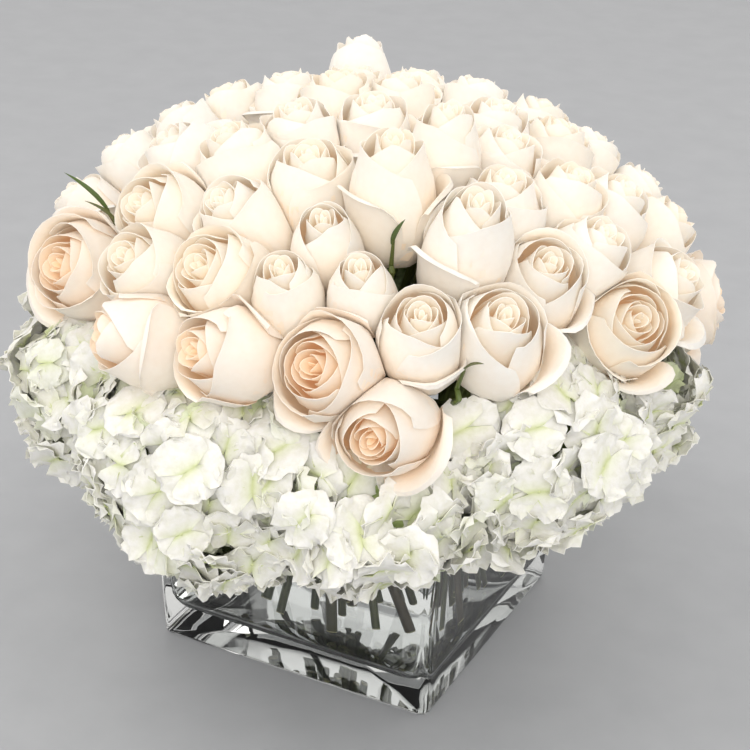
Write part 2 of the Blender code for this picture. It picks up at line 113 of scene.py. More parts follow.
BACK = [
    [(150, 11, 8, 150, "cup"), (96, 12, 8, 95, "cup")],
    [(77, 29, 16, 85, "cup"), (93, 25, 14, 95, "cup"), (104, 38, 24, 105, "cup")],
    [(121, 34, 20, 120, "tall"), (135, 22, 12, 130, "cup")],
    [(151, 24, 14, 160, "cup"), (147, 38, 26, 150, "cup")],
    [(61, 36, 20, 60, "cup"), (46, 45, 30, 50, "cup"), (42, 54, 40, 40, "cup")],
    [(168, 37, 26, 180, "cup"), (179, 43, 34, 185, "cup"), (187, 50, 40, 190, "cup")],
    [(66, 52, 36, 66, "cup"), (77, 60, 48, 74, "cup")],
    [(90, 52, 36, 90, "open"), (98, 68, 56, 98, "cup")],
    [(112, 52, 36, 112, "cup"), (122, 67, 54, 122, "open")],
    [(134, 52, 36, 134, "cup"), (146, 68, 56, 146, "cup")],
    [(156, 53, 38, 158, "open"), (170, 60, 50, 171, "cup")],
]

# Sepals and leaf tips that stand up between blooms: azimuth, polar angle,
# length, azimuth the tip bends to.
GREENS = [(-138, 58, 0.020, -175), (-132, 56, 0.014, -150), (-60, 43, 0.010, 60),
          (-48, 69, 0.014, -20)]


# ---- geometry helpers ---------------------------------------------------
def unit(v):
    return v / np.linalg.norm(v)


def heading(azimuth, lean):
    """Unit vector leaning off +Z by `lean` towards `azimuth`, both degrees."""
    a, b = math.radians(azimuth), math.radians(lean)
    return np.array([math.sin(b) * math.cos(a), math.sin(b) * math.sin(a), math.cos(b)])


def frame_on(axis, spin=0.0):
    """Rows x, y, axis of a right-handed frame turned by `spin` radians."""
    side = np.array([0.0, 0.0, 1.0]) if abs(axis[2]) < 0.9 else np.array([1.0, 0.0, 0.0])
    x = unit(np.cross(side, axis))
    y = np.cross(axis, x)
    return np.array([math.cos(spin) * x + math.sin(spin) * y,
                     math.cos(spin) * y - math.sin(spin) * x, axis])


def loft(rings, low, high):
    """Closed mesh from rings of equal count, with a pole at either end."""
    n = len(rings[0])
    verts = [low] + [p for ring in rings for p in ring] + [high]
    last = len(verts) - 1
    faces = [(0, 1 + (i + 1) % n, 1 + i) for i in range(n)]
    for k in range(len(rings) - 1):
        a, b = 1 + k * n, 1 + (k + 1) * n
        for i in range(n):
            j = (i + 1) % n
            faces.append((a + i, a + j, b + j))
            faces.append((a + i, b + j, b + i))
    top = 1 + (len(rings) - 1) * n
    faces += [(last, top + i, top + (i + 1) % n) for i in range(n)]
    return np.array(verts, dtype=float), faces


class Cell:
    """Convex room that one bloom may fill, as half spaces n.x <= d."""

    def __init__(self, middle):
        self.middle = middle
        self.normals = []
        self.limits = []

    def cut(self, normal, point, margin=FIT * 0.7):
        self.normals.append(normal)
        self.limits.append(float(normal @ point) - margin)

    def room(self, directions):
        reach = directions @ np.array(self.normals).T
        space = np.array(self.limits) - np.array(self.normals) @ self.middle
        out = np.where(reach > 1e-6, space / np.maximum(reach, 1e-6), 9.0)
        return np.clip(out.min(axis=1), 1e-4, None)

    def ease(self, points, power=6.0, spare=0.0):
        """Draw points towards the middle so that all lie inside the room."""
        offset = points - self.middle
        far = np.maximum(np.linalg.norm(offset, axis=1), 1e-9)
        ways = offset / far[:, None]
        room = self.room(ways) + spare
        x = far / room
        return self.middle + ways * (room * x / (1 + x ** power) ** (1 / power))[:, None]


def smooth_path(points, count):
    """Catmull-Rom curve through the points, `count` samples in all."""
    p = np.array(points, dtype=float)
    p = np.vstack([2 * p[0] - p[1], p, 2 * p[-1] - p[-2]])
    spans = len(p) - 3
    out = []
    for t in np.linspace(0, spans - 1e-6, count):
        k, f = int(t), t - int(t)
        a, b, c, d = p[k:k + 4]
        out.append(0.5 * (2 * b + (c - a) * f + (2 * a - 5 * b + 4 * c - d) * f * f
                          + (3 * b - a - 3 * c + d) * f ** 3))
    return np.array(out)


def sweep(path, radii, sides=8):
    """Round tube along a path with closed ends."""
    way = np.gradient(path, axis=0)
    way /= np.linalg.norm(way, axis=1)[:, None]
    side = np.array([1.0, 0.0, 0.0]) if abs(way[0][0]) < 0.9 else np.array([0.0, 1.0, 0.0])
    rings = []
    for point, w, r in zip(path, way, radii):
        side = unit(side - (side @ w) * w)
        up = np.cross(w, side)
        t = np.linspace(0, 2 * math.pi, sides, endpoint=False)[:, None]
        rings.append(point + r * (np.cos(t) * side + np.sin(t) * up))
    verts = np.vstack([path[:1]] + rings + [path[-1:]])
    faces = [(0, 1 + (i + 1) % sides, 1 + i) for i in range(sides)]
    for k in range(len(rings) - 1):
        for i in range(sides):
            j = (i + 1) % sides
            a, b = 1 + k * sides, 1 + (k + 1) * sides
            faces.append((a + i, a + j, b + j, b + i))
    top, last = 1 + (len(rings) - 1) * sides, len(verts) - 1
    faces += [(last, top + i, top + (i + 1) % sides) for i in range(sides)]
    return verts, faces


def shell(outer, inner):
    """Closed thin shell between two grids of points of the same shape."""
    rows, cols = outer.shape[:2]
    n = rows * cols
    verts = np.vstack([outer.reshape(-1, 3), inner.reshape(-1, 3)])
    index = np.arange(n).reshape(rows, cols)
    a, b = index[:-1, :-1], index[:-1, 1:]
    c, d = index[1:, 1:], index[1:, :-1]
    front = np.stack([a, b, c, d], -1).reshape(-1, 4)
    back = front[:, ::-1] + n
    edge = np.concatenate([index[0, :], index[1:, -1], index[-1, -2::-1], index[-2:0:-1, 0]])
    after = np.roll(edge, -1)
    rim = np.stack([after, edge, edge + n, after + n], -1)
    return verts, np.vstack([front, back, rim])


class Build:
    """Gathers shells into one mesh, with a value for each point."""

    def __init__(self):
        self.verts, self.faces, self.tints, self.count = [], [], [], 0

    def add(self, verts, faces, tint):
        """`tint` holds, for each point: how far along, how far in, own shade."""
        self.verts.append(verts)
        self.faces += (np.array(f) + self.count for f in faces)
        self.tints.append(np.broadcast_to(tint, (len(verts), 3)))
        self.count += len(verts)

    def object(self, name, material, nodes, slot):
        mesh = bpy.data.meshes.new(name)
        verts = np.vstack(self.verts)
        mesh.from_pydata(verts.tolist(), [], [tuple(int(i) for i in f) for f in self.faces])
        layer = mesh.attributes.new("tint", "FLOAT_COLOR", "POINT")
        colors = np.ones((len(verts), 4), dtype=np.float32)
        colors[:, :3] = np.vstack(self.tints)
        layer.data.foreach_set("color", colors.ravel())
        mesh.shade_smooth()
        mesh.set_sharp_from_angle(angle=math.radians(CREASE))
        mesh.materials.append(material)
        item = bpy.data.objects.new(name, mesh)
        bpy.context.scene.collection.objects.link(item)
        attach(item, "root")
        if nodes:
            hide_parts(*nodes)
        return item


# ---- arrangement, as in the solids --------------------------------------
def on_dome(azimuth, polar):
    a, p = math.radians(azimuth), math.radians(polar)
    return np.array([DOME_RADIUS * math.sin(p) * math.cos(a),
                     DOME_RADIUS * math.sin(p) * math.sin(a),
                     DOME_MIDDLE + DOME_RISE * math.cos(p)])


def back_to_dome(point):
    across = math.hypot(point[0], point[1]) / DOME_RADIUS
    polar = math.atan2(across, (point[2] - DOME_MIDDLE) / DOME_RISE)
    return on_dome(math.degrees(math.atan2(point[1], point[0])), math.degrees(polar))


def plant_roses():
    """Middles eased apart on the dome, with axis, kind and group of each."""
    roses = []
    for group, row in enumerate(FRONT + BACK):
        for azimuth, polar, lean, toward, kind in row:
            roses.append({"group": group, "kind": kind, "axis": heading(toward, lean),
                          "at": on_dome(azimuth, polar)})
    group = np.array([r["group"] for r in roses])
    row = np.arange(len(roses))
    linked = (group[:, None] == group[None]) & (abs(row[:, None] - row[None]) == 1)
    for _ in range(40):
        at = np.array([r["at"] for r in roses])
        gap = at[:, None] - at[None]
        far = np.linalg.norm(gap, axis=2) + np.eye(len(at))
        push = np.clip(ROSE_SPACING - far, 0, None) * 0.35
        push = np.where(linked, (ROSE_SPACING * 0.92 - far) * 0.35, push) / far
        at = at + (gap * push[..., None]).sum(axis=1)
        for rose, point in zip(roses, at):
            rose["at"] = back_to_dome(point)
    draw = random.Random(SEED)
    for rose in roses:
        radius, height, _, guards = KINDS[rose["kind"]]
        size = draw.uniform(0.95, 1.06)
        rose.update(radius=radius * size, height=height * size, guards=guards,
                    spin=draw.uniform(0, 2 * math.pi))
        rise = 0.010 if rose["kind"] == "tall" else 0.0
        rose["at"] = rose["at"] + rose["axis"] * rise
    return roses


def plant_greens(roses):
    """Blades stand where the roses round them leave most room."""
    greens = []
    for azimuth, polar, length, bend in GREENS:
        at = on_dome(azimuth, polar)
        for _ in range(60):
            gap = at - np.array([r["at"] for r in roses])
            far = np.linalg.norm(gap, axis=1)
            push = np.clip(0.024 - far, 0, None) / far * 0.2
            at = back_to_dome(at + (gap * push[:, None]).sum(axis=0))
        outward = math.degrees(math.atan2(at[1], at[0]))
        greens.append({"at": at, "axis": heading(outward, polar * 0.5), "radius": 0.003,
                       "length": length, "bend": heading(bend, 90), "group": -1})
    return greens


def plant_heads():
    heads = []
    for azimuth, ring, middle in HEADS:
        out = heading(azimuth, 90)
        heads.append({"out": out, "at": out * ring + np.array([0, 0, middle])})
    return heads


def vase_reach(out):
    """How far the glass at the rim reaches along the level direction `out`."""
    half = VASE_WIDTH / 2 + VASE_FLARE * VASE_HEIGHT - CORNER
    return half * (abs(out[0]) + abs(out[1])) + CORNER


def share_room(roses, heads, greens):
    """Give every bloom its convex cell; pairs of blooms share one plane."""
    upper = roses + greens
    for item in upper + heads:
        item["cell"] = Cell(item["at"])
    for i, a in enumerate(upper):
        for b in upper[i + 1:]:
            gap = b["at"] - a["at"]
            if np.linalg.norm(gap) > 0.12:
                continue
            mean = unit(a["axis"] + b["axis"])
            side = unit(gap - 0.45 * (gap @ mean) * mean)
            ahead = a["at"] + gap * a["radius"] / (a["radius"] + b["radius"])
            a["cell"].cut(side, ahead)
            b["cell"].cut(-side, ahead)
    for head in heads:
        for rose in upper:
            gap = rose["at"] - head["at"]
            far = np.linalg.norm(gap)
            if far > 0.2:
                continue
            share = (far ** 2 + (rose["radius"] + 0.004) ** 2 - HEAD_RADIUS ** 2) / (2 * far)
            point = rose["at"] - gap / far * max(share, rose["radius"] * 0.85)
            way = unit(gap / far + np.array([0, 0, 0.5]))
            head["cell"].cut(way, point)
            rose["cell"].cut(-way, point)
        head["loose"] = Cell(head["at"])
        head["loose"].normals = list(head["cell"].normals)
        head["loose"].limits = [limit + 0.003 for limit in head["cell"].limits]
        for other in heads:
            gap = other["at"] - head["at"]
            if other is not head:
                head["cell"].cut(unit(gap), head["at"] + gap / 2)
        away = head["out"] * math.cos(UNDERCUT) + np.array([0, 0, math.sin(UNDERCUT)])
        rim = head["out"] * vase_reach(head["out"]) + np.array([0, 0, VASE_HEIGHT])
        head["cell"].cut(-away, rim, margin=0.0008)
        head["loose"].cut(-away, rim, margin=-0.002)


def clear_stems(head, items):
    """Keep a head off the stems that run past it to the waist."""
    middle = head["at"]
    for item in items:
        start = item["foot"] if "foot" in item else item["at"]
        low = low_point(item)
        for a, b in ((start, low), (low, knot_point(low))):
            along = float(np.clip((middle - a) @ (b - a) / ((b - a) @ (b - a)), 0, 1))
            near = a + (b - a) * along
            if np.linalg.norm(near - middle) < HEAD_RADIUS + 0.006:
                head["cell"].cut(unit(near - middle), near, margin=STEM + 0.0014)


def low_point(item):
    """Where a stem turns from the line of its bloom towards the waist."""
    if "foot" in item:
        return item["foot"] - item["axis"] * 0.006
    return item["at"] - item["axis"] * 0.016


def knot_point(target, depth=0.5):
    """A point inside the gripped waist on the way to `target`."""
    way = unit(target - np.array([0, 0, WAIST]))
    return np.array([0, 0, WAIST]) + way * WAIST_RADIUS * depth


def leg_lines():
    """Top and foot of each stem that stands in the water, turned as a spiral."""
    draw = random.Random(SEED + 2)
    lines = []
    for k in range(LEGS):
        r = math.sqrt((k + 0.5) / LEGS)
        t = k * math.pi * (3 - math.sqrt(5))
        top = np.array([0.0195 * r * math.cos(t), 0.0195 * r * math.sin(t),
                        WAIST - 0.45 * WAIST_RADIUS])
        turn = t + math.radians(24)
        wide = 0.056 * r * (1 + 0.10 * math.cos(4 * (turn - math.pi / 4)))
        foot = np.array([wide * math.cos(turn), wide * math.sin(turn),
                         BASE + draw.uniform(0.003, 0.016)])
        lines.append((top, foot))
    return lines


# ---- rose petals --------------------------------------------------------
def petal_grid(rose, draw, start, half, girth, tall, rim, curl, drop, depth, cols, rows,
               guard=False):
    """One rose petal as a pair of grids in the rose's own frame.

    It wraps `half` radians to each side of `start`; `girth` is its belly,
    `rim` its mouth radius, `curl` how far the lip rolls out and `drop` how
    much lower its side corners end than its middle."""
    radius, height = rose["radius"], rose["height"]
    v = np.linspace(0, 1, rows)[:, None] ** 0.85
    u = np.linspace(-1, 1, cols)[None, :]
    marks = [0.0, 0.12, 0.30, 0.50, 0.70, 0.86, 1.0]
    if guard:
        across = [0.14, 0.72, 0.98, 1.04, 1.11, 1.20, 1.27]
        up = [0.0, 0.055, 0.19, 0.40, 0.60, 0.70, 0.71]
    else:
        across = [0.12 * girth + 0.02, 0.72 * girth, 0.96 * girth, girth,
                  girth + 0.30 * (rim - girth), girth + 0.78 * (rim - girth), rim]
        up = [0.01, 0.065 * tall, 0.21 * tall, 0.45 * tall, 0.69 * tall, 0.87 * tall, tall]
    fine = np.linspace(0, 1.08, 55)
    blur = np.array([1, 3, 5, 7, 5, 3, 1]) / 25
    lines = []
    for values in (across, up):
        line = np.interp(fine, marks, values)
        line[fine > 1] = values[-1] + (fine[fine > 1] - 1) * (values[-1] - values[-2]) / 0.14
        padded = np.pad(line, 3, mode="reflect", reflect_type="odd")
        lines.append(np.convolve(padded, blur, mode="valid"))
    skew = draw.uniform(-0.22, 0.22)
    tip = draw.uniform(0.0, 0.028) * (0.4 if depth > 0.5 else 1.0)
    slant = draw.uniform(-0.10, 0.10) * (1 - depth) ** 2
    s = v * (1 + slant * (u - 0.5 * np.sign(slant)) - drop * np.abs(u + skew * 0.2) ** 2.2
             + tip * np.exp(-((u - skew) / 0.26) ** 2) * v ** 6)
    r = np.interp(s, fine, lines[0])
    z = np.interp(s, fine, lines[1])
    waves = draw.uniform(0, 6.28)
    roll = np.clip((v - 0.74) / 0.26, 0, 1)
    lip = curl * (0.65 + 0.55 * u * u + 0.18 * np.sin(3 * u + waves)) \
        * (1 - (0.0 if guard else 0.85) * np.abs(u) ** 6)
    r = r + lip * roll ** 1.6
    z = z - (radius / height) * lip * 0.85 * roll ** 3
    z = z + 0.010 * np.sin(4.0 * u + waves) * roll * (0.25 + 2 * curl)
    r = r + 0.030 * u * (1 - depth) + 0.010 * np.sin(5.0 * u + 4 * v + waves) * (1 - depth)
    wide = (0.42 + 0.58 * np.sin(math.pi / 2 * np.clip(v / 0.55, 0, 1))) \
        * (1 - 0.14 * np.clip((v - 0.55) / 0.45, 0, 1) ** 2.5)
    t = start + half * u * wide + skew * 0.25 * v
    thick = PETAL_THICK * (1.0 - 0.5 * np.maximum(roll ** 2, np.abs(u) ** 6)) / radius
    grids = []
    for step in (0.0, thick):
        rr = (r - step) * radius
        grids.append(np.stack([rr * np.cos(t), rr * np.sin(t),
                               (z - 0.5) * height + 0 * t], -1))
    shade = np.stack([v + 0 * u, np.full_like(t, depth),
                      np.full_like(t, rose["shade"] + draw.uniform(-0.08, 0.08))], -1)
    return grids, shade


def rose_petals(rose, draw):
    """Guard petals, then a spiral of petals from the outside in."""
    count, collar, mouth, lip = PETALS[rose["kind"]]
    rose["shade"] = draw.uniform(0.1, 0.65)
    if rose["axis"][2] < LOW_AXIS:
        rose["shade"] = RIPE_SHADE
    axes = frame_on(rose["axis"], rose["spin"])
    wraps = []
    first = draw.uniform(0, 6.28)
    for k in range(rose["guards"] + 1 if rose["guards"] else 0):
        wraps.append((first + k * 2.2, 0.95, 1.0, 0.9, 1.0, draw.uniform(0.10, 0.22), 0.26,
                      0.0, True))
    turn = draw.uniform(0, 6.28)
    closed = rose["kind"] in ("bud", "tall")
    heights = [0.93, 0.98, 0.99, 0.985, 0.98] if closed else [0.94, 0.975, 0.985, 0.985, 0.97]
    for k in range(count):
        f = k / (count - 1)
        left = (count - 1 - k) / (count - 4)
        rim = collar - (collar - mouth) * k / 3 if k < 3 else mouth * left ** 0.95 + 0.035
        girth = min(1.0 - 0.014 * k, rim * (1.0 + 0.75 * (1 - f) ** 0.5)) if k > 3 \
            else 1.0 - 0.016 * k
        curl = lip * (1 - f) * draw.uniform(0.6, 1.7) if k < 3 else \
            mouth / (count - 4) * draw.uniform(0.75, 1.15)
        tall = float(np.interp(f, [0, 0.2, 0.5, 0.8, 1.0], heights)) + draw.uniform(-0.01, 0.01)
        half = float(np.interp(f, [0, 0.3, 0.7, 1.0], [1.66, 1.4, 1.55, 2.1]))
        start = turn + k * PETAL_STEP + draw.uniform(-0.12, 0.12)
        wraps.append((start, half * draw.uniform(0.95, 1.05), girth, tall, rim, curl,
                      draw.uniform(0.10, 0.17), f, False))
    for start, half, girth, tall, rim, curl, drop, depth, guard in wraps:
        cols, rows = (12, 10) if depth < 0.25 else (9, 7) if depth < 0.7 else (9, 5)
        grids, shade = petal_grid(rose, draw, start, half, girth, tall, rim, curl, drop,
                                  depth, cols, rows, guard)
        outward = unit(np.array([math.cos(start), math.sin(start), 0.3]) @ axes)
        if guard and rose["cell"].room(outward[None])[0] < rose["radius"]:
            continue
        power = 6.0 if guard else 9.0
        outer, inner = [rose["cell"].ease((g @ axes + rose["at"]).reshape(-1, 3), power,
                                          0.003 if guard else 0.0004).reshape(g.shape)
                        for g in grids]
        verts, faces = shell(outer, inner)
        shade = shade.reshape(-1, 3)
        # Inner faces take at least this depth, so they get the peach inside colour and more of the
        # painted glow.
        within = shade.copy()
        within[:, 1] = np.maximum(within[:, 1], 0.3 if guard else 0.45 if depth < 0.2 else 0.8)
        yield verts, faces, np.vstack([shade, within])


# ---- hydrangea florets --------------------------------------------------
def floret_petals(head, way, height, size, spin, draw, own, cols=9, rows=5):
    """Four broad ruffled petals on one short stalk."""
    tilt = np.array([draw.uniform(-0.55, 0.55) for _ in range(3)])
    x, y, z = frame_on(unit(way + tilt), spin)
    heart = head["at"] + way * height
    v = np.linspace(0, 1, rows)[:, None] ** 0.8
    u = np.linspace(-1, 1, cols)[None, :]
    bowl = draw.uniform(-0.10, 0.32)
    for k in range(4):
        t0 = math.pi / 2 * k + draw.uniform(-0.14, 0.14)
        wave, wave2 = draw.uniform(0, 6.28), draw.uniform(0, 6.28)
        long = size * draw.uniform(0.88, 1.10)
        lift = bowl + draw.uniform(-0.10, 0.12)
        ragged = np.array([draw.uniform(-0.08, 0.04) for _ in range(cols)])[None, :]
        wide = 0.80 * np.sin(math.pi * (0.07 + 0.70 * v ** 0.85)) ** 0.7
        a = long * v * (1 - 0.24 * np.abs(u) ** 2.3 + ragged * v ** 4)
        b = long * u * wide
        edge = np.maximum(np.abs(u) ** 3, v ** 4)
        ruffle = long * (0.120 * edge * np.sin(9.0 * v + wave + 2 * np.sign(u))
                         + 0.105 * v ** 3 * np.sin(7.0 * u + wave2)
                         + 0.05 * v * np.sin(2.5 * u + wave2))
        h = lift * a - 0.22 * a * a / long + 0.16 * b * b / long + ruffle
        h = h + (0.0011 if k % 2 else 0.0)
        ca, sa = math.cos(t0), math.sin(t0)
        flat = np.stack([a * ca - b * sa, a * sa + b * ca, h], -1)
        grids = []
        for step in (0.0, FLORET_THICK):
            p = flat.copy()
            p[..., 2] -= step
            world = heart + p[..., :1] * x + p[..., 1:2] * y + p[..., 2:] * z
            grids.append(head["loose"].ease(world.reshape(-1, 3), 12.0, 0.005)
                         .reshape(world.shape))
        verts, faces = shell(grids[0], grids[1])
        shade = np.stack([v + 0 * u, np.abs(u) + 0 * v, np.full_like(v + u, own)], -1)
        yield verts, faces, np.vstack([shade.reshape(-1, 3)] * 2)


def spread(count, twist):
    """Even directions over a ball."""
    k = np.arange(count)
    z = 1 - (2 * k + 1) / count
    t = k * math.pi * (3 - math.sqrt(5)) + twist
    r = np.sqrt(1 - z * z)
    return np.stack([r * np.cos(t), r * np.sin(t), z], -1)


def dress_head(head, number, material, core_material):
    draw = random.Random(SEED + 100 + number)
    aim = unit(head["out"] + np.array([0, 0, 0.1]))
    for_petals, for_core = Build(), Build()
    for layer, (count, height, size) in enumerate(FLORETS):
        for way in spread(count, draw.uniform(0, 6.28)):
            way = unit(way + np.array([draw.uniform(-0.07, 0.07) for _ in range(3)]))
            room = head["loose"].room(way[None])[0]
            near = head["cell"].room(way[None])[0]
            lumpy = height + draw.uniform(-0.006, 0.003)
            if way @ aim < -0.15 or room < HEAD_RADIUS * 0.55 or near < HEAD_RADIUS * 0.60:
                continue
            # The inner layer gets low own values, which the material turns green: partly the lime
            # green of young florets, partly painted shade in the gaps between the outer florets.
            own = draw.uniform(0.25, 1.0) if layer == 0 else draw.uniform(0.0, 0.35)
            for piece in floret_petals(head, way, min(lumpy, room - 0.004),
                                       size * draw.uniform(0.86, 1.12),
                                       draw.uniform(0, 1.57), draw, own):
                for_petals.add(*piece)
            eye, eye_faces = icosphere(1)
            for_petals.add(head["loose"].ease(head["at"] + way * (min(lumpy, room - 0.004)
                                              + 0.0006) + eye * 0.0011), eye_faces,
                           (0.0, 0.0, own))
    ball, faces = icosphere(3)
    lumps = 1 + 0.05 * np.sin(23 * ball[:, 0]) * np.sin(19 * ball[:, 1]) * np.sin(21 * ball[:, 2])
    core = head["cell"].ease(head["at"] + ball * (HEAD_RADIUS * 0.76 * lumps)[:, None])
    for_core.add(core, faces, (0.0, 0.0, 0.5))
    name = f"hydrangea_{number:02d}"
    for_petals.object(f"{name}_florets", material, [name], "hydrangea_petal")
    for_core.object(f"{name}_heart", core_material, [], "stem_green")


def icosphere(level):
    mesh = bmesh.new()
    bmesh.ops.create_icosphere(mesh, subdivisions=level, radius=1.0)
    verts = np.array([v.co for v in mesh.verts])
    faces = [tuple(v.index for v in f.verts) for f in mesh.faces]
    mesh.free()
    return verts, faces


# ---- stems, sepals and leaf tips ----------------------------------------
def blade(start, way, out, length, width, cup, curl, rows=9, cols=5):
    """Pointed green blade from `start` along `way`, bending towards `out`."""
    side = unit(np.cross(way, out))
    out = unit(out - (out @ way) * way)
    v = np.linspace(0, 1, rows)[:, None]
    u = np.linspace(-1, 1, cols)[None, :]
    wide = width * (np.sin(math.pi * np.clip(0.12 + 0.88 * v, 0, 1)) ** 0.8 + 0.02)
    a = length * v
    lift = curl * length * v * v - cup * wide * u * u
    spine = start + a[..., None] * way + (lift + 0 * u)[..., None] * out \
        + (u * wide)[..., None] * side
    return shell(spine, spine - BLADE_THICK * out * (1 - 0.7 * v)[..., None])


def dress_stems(roses, heads, greens, material):
    build = Build()
    draw = random.Random(SEED + 7)
    for rose in roses:
        foot, axis = rose["foot"], rose["axis"]
        low = low_point(rose)
        inside = knot_point(low, 0.30)
        path = smooth_path([foot - axis * 0.0006, low, low * 0.55 + inside * 0.45
                            - np.array([0, 0, 0.001]), inside], 12)
        build.add(*sweep(path, np.linspace(STEM * 0.95, STEM, 12)), (0.3, 0, draw.random()))
        cup = smooth_path([foot - axis * 0.0075, foot - axis * 0.0045, foot - axis * 0.0004], 5)
        build.add(*sweep(cup, [0.0024, 0.0036, 0.0046, 0.0048, 0.0040], 10),
                  (0.6, 0, draw.random()))
    for head in heads:
        inside = knot_point(head["foot"], 0.4)
        path = smooth_path([head["foot"], head["foot"] * 0.5 + inside * 0.5, inside], 8)
        build.add(*sweep(path, np.full(8, STEM * 1.3)), (0.5, 0, draw.random()))
    lines = leg_lines()
    for k, (top, foot) in enumerate(lines):
        build_leg(build, top, foot, 0.0023 if k % 3 else 0.0031, draw)
    for k, (top, foot) in enumerate(lines[:-1]):
        other = lines[k + 1]
        build_leg(build, (top + other[0]) / 2, foot * 0.45 + other[1] * 0.55
                  + np.array([0, 0, 0.004 * (k % 3)]), 0.0021, draw)
    for green in greens:
        axis, at = green["axis"], green["at"]
        low = low_point(green)
        path = smooth_path([at + axis * 0.012, at - axis * 0.002, low, knot_point(low, 0.3)], 12)
        build.add(*sweep(path, np.linspace(0.0007, 0.0018, 12), 6), (0.4, 0, draw.random()))
        build.add(*blade(at + axis * 0.009, axis, green["bend"], green["length"] * 1.25,
                         0.0014, 0.5, 0.40), (0.55, 0, draw.random()))
    build.object("stems_and_sepals", material, ["stems"], "stem_green")


def build_leg(build, top, foot, radius, draw):
    """A stem through the water with nodes along it and a slanted pale end."""
    count = 16
    mid = (top + foot) / 2 + np.array([draw.uniform(-0.003, 0.003),
                                       draw.uniform(-0.003, 0.003), 0])
    path = smooth_path([top + (top - foot) * 0.12, top, mid, foot], count)
    radii = radius * (1 + 0.22 * np.exp(-((np.arange(count) - draw.uniform(6, 11)) / 0.8) ** 2))
    verts, faces = sweep(path, radii, 9)
    build.add(verts, faces, (0.1, 0, draw.random()))
    way = unit(foot - path[-2])
    tip, tip_faces = sweep(np.array([foot - way * 0.0004, foot + way * 0.0005]),
                           [radius * 0.97, radius * 0.90], 9)
    build.add(tip, tip_faces, (0.0, 1.0, draw.random()))


# ---- glass and water ----------------------------------------------------
def square_ring(half, z, corner=CORNER, steps=4):
    """Rounded square, `steps` points to a corner, counter-clockwise."""
    ring = []
    for c, (sx, sy) in enumerate(((1, 1), (-1, 1), (-1, -1), (1, -1))):
        for k in range(steps):
            t = math.pi / 2 * (c + k / (steps - 1))
            ring.append((sx * (half - corner) + corner * math.cos(t),
                         sy * (half - corner) + corner * math.sin(t), z))
    return ring


def half_at(z):
    return VASE_WIDTH / 2 + VASE_FLARE * z


def dress_glass(glass, water):
    top = half_at(VASE_HEIGHT)
    n = 9
    rings = [square_ring(half_at(0) - 0.0055, 0.0003, CORNER, n),
             square_ring(half_at(0) - 0.0040, 0.0, CORNER, n),
             square_ring(half_at(0) - 0.0016, 0.0, CORNER, n),
             square_ring(half_at(0) - 0.0004, 0.0005, CORNER, n),
             square_ring(half_at(0), 0.0018, CORNER, n)]
    for z in np.linspace(0.010, VASE_HEIGHT - 0.003, 6):
        rings.append(square_ring(half_at(z), z, CORNER, n))
    for dz, inset in ((0.0012, 0.0001), (0.0004, 0.0006), (0.0, 0.0016), (0.0, WALL - 0.0016),
                      (0.0004, WALL - 0.0006), (0.0012, WALL - 0.0001)):
        corner = CORNER - 0.001 * (inset > 0.002)
        rings.append(square_ring(top - inset, VASE_HEIGHT - dz, corner, n))
    inner = inner_rings(n, WALL, 0.0)
    verts, faces = loft(rings + inner, (0, 0, 0.0006), (0, 0, BASE))
    build = Build()
    build.add(verts, faces, (0, 0, 0))
    build.object("glass_vase", glass, ["vase"], "clear_glass")
    inside = [r for r in reversed(inner_rings(n, WALL - 0.0002, -0.0001))
              if r[0][2] < WATER_TOP - 0.004]
    level = half_at(WATER_TOP) - WALL + 0.0002
    inside += [square_ring(half_at(WATER_TOP - 0.0015) - WALL + 0.0002, WATER_TOP - 0.0015,
                           CORNER - 0.001, n),
               square_ring(level, WATER_TOP + 0.0004, CORNER - 0.001, n),
               square_ring(level - 0.0010, WATER_TOP - 0.0002, CORNER - 0.001, n),
               square_ring(level - 0.0030, WATER_TOP - 0.0006, CORNER - 0.001, n)]
    verts, faces = loft(inside, (0, 0, BASE - 0.0001), (0, 0, WATER_TOP - 0.0006))
    build = Build()
    build.add(verts, faces, (0, 0, 0))
    build.object("vase_water", water, ["water"], "clear_water")


def inner_rings(n, wall, dz):
    """Inside of the glass from the rim down, with the rounded thick bottom."""
    rings = [square_ring(half_at(z) - wall, z + dz, CORNER - 0.001, n)
             for z in np.linspace(VASE_HEIGHT - 0.004, 0.030, 6)]
    side = half_at(0.024) - wall
    for a in np.linspace(0, math.pi / 2, 7)[1:]:
        rings.append(square_ring(side - 0.012 * (1 - math.cos(a)),
                                 BASE + dz + 0.0010 + 0.012 * (1 - math.sin(a)), CORNER, n))
    rings.append(square_ring(0.035, BASE + dz + 0.0003, CORNER, n))
    return rings


# ---- materials ----------------------------------------------------------
def new_material(name):
    material = bpy.data.materials.new(name)
    material.use_nodes = True
    tree = material.node_tree
    return material, tree, tree.nodes["Principled BSDF"]


def node(tree, kind, **values):
    item = tree.nodes.new(kind)
    for key, value in values.items():
        if key in item.inputs:
            item.inputs[key].default_value = value
        else:
            setattr(item, key.lower(), value)
    return item


def ramp(tree, source, stops):
    item = tree.nodes.new("ShaderNodeValToRGB")
    elements = item.color_ramp.elements
    while len(elements) < len(stops):
        elements.new(0.5)
    for element, (place, color) in zip(elements, stops):
        element.position = place
        element.color = (*color, 1.0)
    tree.links.new(source, item.inputs["Fac"])
    return item.outputs["Color"]


def mix(tree, kind, factor, a, b):
    item = tree.nodes.new("ShaderNodeMix")
    item.data_type = "RGBA"
    item.blend_type = kind
    item.clamp_result = True
    for value, socket in ((factor, 0), (a, 6), (b, 7)):
        if hasattr(value, "links"):
            tree.links.new(value, item.inputs[socket])
        else:
            item.inputs[socket].default_value = value
    return item.outputs[2]


